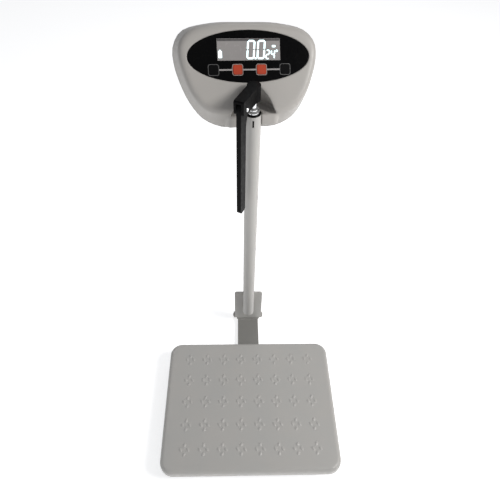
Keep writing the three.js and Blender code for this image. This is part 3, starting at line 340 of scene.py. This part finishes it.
def remeshed(node, voxel):
    """The CAD node's shape as an even fine mesh."""
    copy = bpy.data.objects.new("remesh_" + node, NODES[node].data.copy())
    bpy.context.scene.collection.objects.link(copy)
    remesh = copy.modifiers.new("remesh", "REMESH")
    remesh.mode = "VOXEL"
    remesh.voxel_size = voxel * MM
    depsgraph = bpy.context.evaluated_depsgraph_get()
    mesh = bpy.data.meshes.new_from_object(copy.evaluated_get(depsgraph))
    bpy.data.objects.remove(copy)
    return mesh


def rounded_rectangle(width, depth, radius, steps):
    """Corner-rounded outline about the origin, counter-clockwise, in millimetres."""
    points = []
    for side_x, side_y, start in ((1, 1, 0), (-1, 1, 90), (-1, -1, 180), (1, -1, 270)):
        for step in range(steps + 1):
            angle = math.radians(start + 90 * step / steps)
            points.append((side_x * (width / 2 - radius) + radius * math.cos(angle),
                           side_y * (depth / 2 - radius) + radius * math.sin(angle)))
    return points


def ring_of(bm, points, height, centre):
    return [bm.verts.new(centre + Vector((x, y, height)) * MM) for x, y in points]


def skin_between(bm, lower, upper):
    count = len(lower)
    for i in range(count):
        j = (i + 1) % count
        bm.faces.new((lower[i], lower[j], upper[j], upper[i]))


# ---------------------------------------------------------------- platform cover with its pressed tread

COVER_WALL = 2.5
COVER_EDGE = 10.0                # rounding between the side and the top
COVER_CORNER = 29.0
TREAD_COLUMNS, TREAD_ROWS = 8, 5
TREAD_PITCH = (42.2, 54.6)
TREAD_SHIFT = 1.2                # pattern behind the middle of the platform
TREAD_REACH = (15, 18)           # fine grid on each side of a cluster's centre
TREAD_MARGIN = 7                 # plain band between the rounded edge and the grid
LUGS = 4                         # in a cluster
LUG_REACH = 8.2                  # lugs from their cluster's centre, across
LUG_STRETCH = 1.2                # and this much further along
LUG_LENGTH, LUG_WIDTH, LUG_HEIGHT = 10.5, 6.4, 1.3
LUG_LEAN = 24                    # degrees
LUG_CROWN = 0.8                  # below 1, the lug's top is fuller
CORNER_STEPS, EDGE_STEPS = 12, 10
COVER_SMOOTH = 50                # degrees, edges that turn less are shaded smooth


def tread_centres():
    for column in range(TREAD_COLUMNS):
        for row in range(TREAD_ROWS):
            yield ((column - (TREAD_COLUMNS - 1) / 2) * TREAD_PITCH[0],
                   (row - (TREAD_ROWS - 1) / 2) * TREAD_PITCH[1] + TREAD_SHIFT)


def lug_height(x, y):
    """Height of the pressed lugs of one cluster, from the cluster's centre."""
    height = 0.0
    for lug in range(LUGS):
        angle = math.radians(360 / LUGS * lug)
        dx = x - LUG_REACH * math.cos(angle)
        dy = y - LUG_REACH * LUG_STRETCH * math.sin(angle)
        lean = math.radians(LUG_LEAN if lug % 2 else -LUG_LEAN)
        along = dy * math.cos(lean) + dx * math.sin(lean)
        across = dx * math.cos(lean) - dy * math.sin(lean)
        reach = (2 * along / LUG_LENGTH) ** 2 + (2 * across / LUG_WIDTH) ** 2
        if reach < 1:
            height = max(height, LUG_HEIGHT * (1 - reach) ** LUG_CROWN)
    return height


def tread_lines(pitch, count, shift, reach, edge):
    """Grid lines that are close together across each row of clusters, and wide apart between."""
    lines = {-edge, edge}
    for index in range(count):
        centre = (index - (count - 1) / 2) * pitch + shift
        steps = int(2 * reach)
        lines.update(centre - reach + step for step in range(steps + 1))
    return sorted(lines)


def cover_levels(width, depth, corner, edge, low, high):
    """Heights and outlines of the cover's side, from its foot over the rounded edge to its top."""
    yield low, (width, depth, corner)
    for step in range(EDGE_STEPS + 1):
        angle = math.radians(90 * step / EDGE_STEPS)
        inset = edge * (1 - math.cos(angle))
        yield high - edge + edge * math.sin(angle), (width - 2 * inset, depth - 2 * inset, corner - inset)


def cover_skin(bm, centre, width, depth, corner, edge, low, high):
    rings = [ring_of(bm, rounded_rectangle(*outline, CORNER_STEPS), height, centre)
             for height, outline in cover_levels(width, depth, corner, edge, low, high)]
    for lower, upper in zip(rings, rings[1:]):
        skin_between(bm, lower, upper)
    return rings[0], rings[-1]


def tread_grid(bm, centre, top, width, depth):
    """The pressed top sheet, and the loop of vertices round it."""
    xs = tread_lines(TREAD_PITCH[0], TREAD_COLUMNS, 0, TREAD_REACH[0], width / 2)
    ys = tread_lines(TREAD_PITCH[1], TREAD_ROWS, TREAD_SHIFT, TREAD_REACH[1], depth / 2)
    centres = list(tread_centres())

    def height(x, y):
        nearest = min(centres, key=lambda c: abs(c[0] - x) + abs(c[1] - y))
        return lug_height(x - nearest[0], y - nearest[1])

    grid = [[bm.verts.new(centre + Vector((x, y, top + height(x, y))) * MM) for x in xs] for y in ys]
    for lower, upper in zip(grid, grid[1:]):
        for i in range(len(xs) - 1):
            bm.faces.new((lower[i], lower[i + 1], upper[i + 1], upper[i]))
    right = [row[-1] for row in grid[1:]]
    left = [row[0] for row in grid[1:-1]]
    return grid[0] + right + grid[-1][-2::-1] + left[::-1]


def fill_between(bm, outer, inner):
    """Flat sheet between two loops of vertices."""
    edges = []
    for loop in (outer, inner):
        for i, vertex in enumerate(loop):
            other = loop[(i + 1) % len(loop)]
            edges.append(bm.edges.get((vertex, other)) or bm.edges.new((vertex, other)))
    bmesh.ops.triangle_fill(bm, use_beauty=True, edges=edges)


def platform_cover():
    """The cover as a thin shell, open below, with its tread pressed in the top sheet."""
    low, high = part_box("platform_cover")
    centre = Vector(((low.x + high.x) / 2, (low.y + high.y) / 2, 0))
    width, depth = (high.x - low.x) / MM, (high.y - low.y) / MM
    bottom, top = low.z / MM, high.z / MM
    bm = bmesh.new()
    foot, edge = cover_skin(bm, centre, width, depth, COVER_CORNER, COVER_EDGE, bottom, top)
    margin = 2 * (COVER_EDGE + TREAD_MARGIN)
    fill_between(bm, edge, tread_grid(bm, centre, top, width - margin, depth - margin))
    inner_foot, ceiling = cover_skin(bm, centre, width - 2 * COVER_WALL, depth - 2 * COVER_WALL,
                                     COVER_CORNER - COVER_WALL, COVER_EDGE - COVER_WALL, bottom,
                                     top - COVER_WALL)
    bm.faces.new(ceiling)
    skin_between(bm, inner_foot, foot)
    piece = new_piece("fine_platform_cover", bm, MATERIALS["white_paint"], "base",
                      COVER_SMOOTH)
    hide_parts("platform_cover")


# ---------------------------------------------------------------- display

FASCIA_PROUD = 0.4
FASCIA_THICK = 2.0
FRONT_BAND = 0.2                 # depth within which a vertex is on a node's front


def face_axes():
    """Right, up and inward directions of the head's face, and the face's centre in the row frame."""
    inward = Vector(next(joint["axis"] for joint in frame["joints"] if joint["name"] == "key_1_press"))
    right = (middle("key_4") - middle("key_1")).normalized()
    up = right.cross(inward).normalized()
    centre = middle("fascia_panel") - inward * (FASCIA_THICK / 2 - FASCIA_PROUD) * MM
    return right, up, inward, centre


RIGHT, UP, INWARD, FACE = face_axes()


def on_face(across, up, depth):
    return FACE + (RIGHT * across + UP * up + INWARD * depth) * MM


def face_place(point):
    """Where a row-frame point is on the face: across and up from its centre, in millimetres."""
    offset = (point - FACE) / MM
    return offset.dot(RIGHT), offset.dot(UP)


def face_slab(bm, outline, front, back):
    """Closed slab of an outline on the face, from one depth to another."""
    near = [bm.verts.new(on_face(x, y, front)) for x, y in outline]
    far = [bm.verts.new(on_face(x, y, back)) for x, y in outline]
    bm.faces.new(near)
    bm.faces.new(far[::-1])
    skin_between(bm, near, far)


def face_ring(bm, outer, inner, front, back):
    """Closed flat ring between two outlines of equal length on the face."""
    loops = [[bm.verts.new(on_face(x, y, depth)) for x, y in outline]
             for outline, depth in ((outer, front), (inner, front), (inner, back), (outer, back))]
    for index, loop in enumerate(loops):
        skin_between(bm, loop, loops[(index + 1) % len(loops)])


SLANT = 0.1                      # lean of the figures, across for each step up
SEGMENT_GAP = 0.25
FIGURE_FRONT, FIGURE_BACK = -0.06, 0.1           # depths of the figures, from just proud of the glass
FLAT_SMOOTH = 30                 # degrees, for the thin printed and lit pieces
SEGMENTS = {"a": (0, 1, "flat"), "b": (1, 0.5, "tall"), "c": (1, -0.5, "tall"), "d": (0, -1, "flat"),
            "e": (-1, -0.5, "tall"), "f": (-1, 0.5, "tall"), "g": (0, 0, "flat")}
GLYPHS = {"0": "abcdef", "2": "abged", "4": "fgbc"}


def bar(length, thick, flat):
    """Segment of a seven-segment figure: a bar with pointed ends."""
    half, tip = length / 2, thick / 2
    points = [(-half, 0), (-half + tip, -tip), (half - tip, -tip),
              (half, 0), (half - tip, tip), (-half + tip, tip)]
    return points if flat else [(-y, x) for x, y in points]


def figure(bm, text, across, up, size):
    """Lit seven-segment figure, centred at a place on the face."""
    width, height, thick = size
    for name in GLYPHS[text]:
        side, level, kind = SEGMENTS[name]
        flat = kind == "flat"
        length = (width - thick if flat else height / 2 - thick / 2) - SEGMENT_GAP
        x0, y0 = side * (width - thick) / 2, level * (height - thick) / 2
        outline = [(x + x0, y + y0) for x, y in bar(length, thick, flat)]
        face_slab(bm, [(across + x + SLANT * y, up + y) for x, y in outline], FIGURE_FRONT, FIGURE_BACK)


def disc(radius, across, up):
    steps = 24
    turns = [2 * math.pi * i / steps for i in range(steps)]
    return [(across + radius * math.cos(turn), up + radius * math.sin(turn)) for turn in turns]


def rounded_rectangle_at(width, height, radius, across, up):
    return [(x + across, y + up) for x, y in rounded_rectangle(width, height, radius, 5)]


def face_span(node):
    """Width, height and centre of a node's front on the face, in millimetres."""
    points = [vertex.co for vertex in NODES[node].data.vertices]
    depths = [(point - FACE).dot(INWARD) for point in points]
    limit = min(depths) + FRONT_BAND * MM
    places = [face_place(point) for point, depth in zip(points, depths) if depth < limit]
    across, up = ([place[axis] for place in places] for axis in (0, 1))
    return (max(across) - min(across), max(up) - min(up),
            (min(across) + max(across)) / 2, (min(up) + max(up)) / 2)


FASCIA_SPAN = face_span("fascia_panel")
BIG_FIGURE = (13.8, 30, 3.0)     # width, height and thickness of a segment
SMALL_FIGURE = (7.4, 15.2, 2.2)
# Each figure with its place from the glass's centre, across and up, and its size.
FIGURES = (("0", 3.5, -0.3, BIG_FIGURE), ("0", 20.4, -0.3, BIG_FIGURE),
           ("2", 31.2, -8.0, SMALL_FIGURE), ("4", 39.8, -8.0, SMALL_FIGURE))
POINT = (3.0, 3.0, 0.6, 10.6, -13.8)             # width, height, corner and place, as the signs below
RING_SIGN = (1.9, 0.9, 46.4, -2.4)               # outer and inner radius, and place
UNIT_SIGN = (6.4, 3.6, 1.7, 41.6, 4.8)
BATTERY_SIGN = (6.2, 10.8, 0.9, -47.4, -7.6)
BATTERY_TIP = (3.0, 2.0, 0.5, -47.4, -1.4)
SHADE_HEIGHT, SHADE_CORNER = 3.4, 0.2
SHADE_INSET = 0.4                # painted shade: the dark strip below the glass's upper edge stands for the recess's shade
SHADE_NARROWER = 1
SHADE_FRONT, SHADE_BACK = -0.03, 0.1


def display():
    """The lit figures, the battery sign and a dark strip of painted shade under the glass's upper edge, just proud
    of the display's glass.
    """
    width, height, across, up = face_span("lcd_module")

    def mark(wide, high, corner, right, above):
        outline = rounded_rectangle_at(wide, high, corner, across + right, up + above)
        face_slab(bm, outline, FIGURE_FRONT, FIGURE_BACK)

    bm = bmesh.new()
    for text, right, above, size in FIGURES:
        figure(bm, text, across + right, up + above, size)
    mark(*POINT)
    outer, inner, right, above = RING_SIGN
    rings = [disc(radius, across + right, up + above) for radius in (outer, inner)]
    face_ring(bm, *rings, FIGURE_FRONT, FIGURE_BACK)
    mark(*UNIT_SIGN)
    mark(*BATTERY_SIGN)
    mark(*BATTERY_TIP)
    new_piece("display_figures", bm, LIT_DIGITS, "base", FLAT_SMOOTH)
    # painted shade: dark strip standing for the recess's shade along the glass's upper edge
    strip = bmesh.new()
    lift = (height - SHADE_HEIGHT) / 2 - SHADE_INSET
    outline = rounded_rectangle_at(width - SHADE_NARROWER, SHADE_HEIGHT, SHADE_CORNER, across, up + lift)
    face_slab(strip, outline, SHADE_FRONT, SHADE_BACK)
    new_piece("display_painted_shade_strip", strip, LCD_PAINTED_SHADE, "base", FLAT_SMOOTH)


OUTLINE_REACH, OUTLINE_WIDTH = 1.6, 1.1          # how far it stands past the key, and its line
OUTLINE_CORNERS = (3.6, 2.8)     # outer and inner
LINE_HEIGHT, LINE_CORNER = 2.4, 0.1
PRINT_PROUD, PRINT_SUNK = 0.05, 0.1
KEYS = ("key_1", "key_2", "key_3", "key_4")


def key_surrounds():
    """Printed outlines round the keys, and the line that joins them."""
    front, back = -FASCIA_PROUD - PRINT_PROUD, -FASCIA_PROUD + PRINT_SUNK
    spans = [face_span(key) for key in KEYS]
    for key, (width, height, across, up) in zip(KEYS, spans):
        bm = bmesh.new()
        loops = [rounded_rectangle_at(width + 2 * reach, height + 2 * reach, corner, across, up)
                 for reach, corner in zip((OUTLINE_REACH, OUTLINE_REACH - OUTLINE_WIDTH), OUTLINE_CORNERS)]
        face_ring(bm, *loops, front, back)
        material = PRINT_LIGHT if SLOT_OF[key] == "red_key" else PRINT_GREY
        new_piece(key + "_outline", bm, material, "base", FLAT_SMOOTH)
    bm = bmesh.new()
    for (width, _, left, up), (_, _, right, _) in zip(spans, spans[1:]):
        length = right - left - 2 * (width / 2 + OUTLINE_REACH)
        outline = rounded_rectangle_at(length, LINE_HEIGHT, LINE_CORNER, (left + right) / 2, up)
        face_slab(bm, outline, front, back)
    new_piece("key_line", bm, PRINT_LINE, "base", FLAT_SMOOTH)


# ---------------------------------------------------------------- front shell of the head

SHELL_VOXEL = 1.2
SHELL_PASSES = 16
SHELL_SHARE = 0.4                # faces kept after smoothing
SHELL_SMOOTH = 60                # degrees, edges that turn less are shaded smooth
PARTING_BAND = 4.0               # left unsmoothed next to the parting line
RECESS_BAND = 2.5                # and round the fascia
RECESS_DEPTH = 6.0               # as deep as this


def fillet_zone(point, parting):
    """True where the moulding is rounded: away from the parting line and from the fascia's recess."""
    across, up = face_place(point)
    depth = (point - FACE).dot(INWARD) / MM
    if depth > parting - PARTING_BAND:
        return False
    width, height, middle_across, middle_up = FASCIA_SPAN
    x = (across - middle_across) / (width / 2 + RECESS_BAND)
    y = (up - middle_up) / (height / 2 + RECESS_BAND)
    return depth > RECESS_DEPTH or x * x + y * y > 1


def front_shell():
    """The head's front shell with its creases smoothed into fillets."""
    mesh = remeshed("head_front_shell", SHELL_VOXEL)
    bm = bmesh.new()
    bm.from_mesh(mesh)
    bpy.data.meshes.remove(mesh)
    parting = max((vertex.co - FACE).dot(INWARD) for vertex in bm.verts) / MM
    free = [vertex for vertex in bm.verts if fillet_zone(vertex.co, parting)]
    for _ in range(SHELL_PASSES):
        bmesh.ops.smooth_vert(bm, verts=free, factor=0.5, use_axis_x=True, use_axis_y=True, use_axis_z=True)
    piece = new_piece("fine_head_front_shell", bm, MATERIALS["white_plastic"], "base",
                      SHELL_SMOOTH)
    fewer = piece.modifiers.new("fewer_faces", "DECIMATE")
    fewer.ratio = SHELL_SHARE
    piece.modifiers.move(1, 0)
    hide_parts("head_front_shell")


# ---------------------------------------------------------------- assembly

SOFT_EDGES = {                   # radius of each node's rounded edges, in millimetres; 0 keeps them sharp
    "arm_bracket": 0.8, "measuring_arm": 0.7, "column_bracket": 0.8, "column_top_bush": 0.3,
    "lower_rod_bush": 0.2, "middle_rod_bush": 0.2, "column_foot_plug": 0, "column_tube": 0.2,
    "fascia_panel": 0.25, "key_1": 0.6, "key_2": 0.6, "key_3": 0.6, "key_4": 0.6, "lcd_module": 0,
    "battery_door": 0.5, "transport_roller_left": 0.4, "transport_roller_right": 0.4, "rubber_foot_1": 0.5,
    "rubber_foot_2": 0.5, "rubber_foot_3": 0.5, "rubber_foot_4": 0.5, "base_pan": 0.6, "arm_pin": 0.3,
    "power_socket": 0.2, "lower_rod": 0, "middle_rod": 0, "upper_rod": 0, "signal_cable": 0,
    "roller_axle": 0.3, "head_rear_shell": 0,
}


def dress():
    """Materials on every CAD node, and fine pieces in place of the ones that show."""
    for node, slot in SLOT_OF.items():
        mesh = NODES[node].data
        mesh.materials.clear()
        mesh.materials.append(MATERIALS[slot])
    for node, radius in SOFT_EDGES.items():
        softened(node, radius, BRACKET_PAINT if node == "column_bracket" else MATERIALS[SLOT_OF[node]])
    platform_cover()
    front_shell()
    display()
    key_surrounds()


add_camera()
add_lights()
add_floor()
dress()
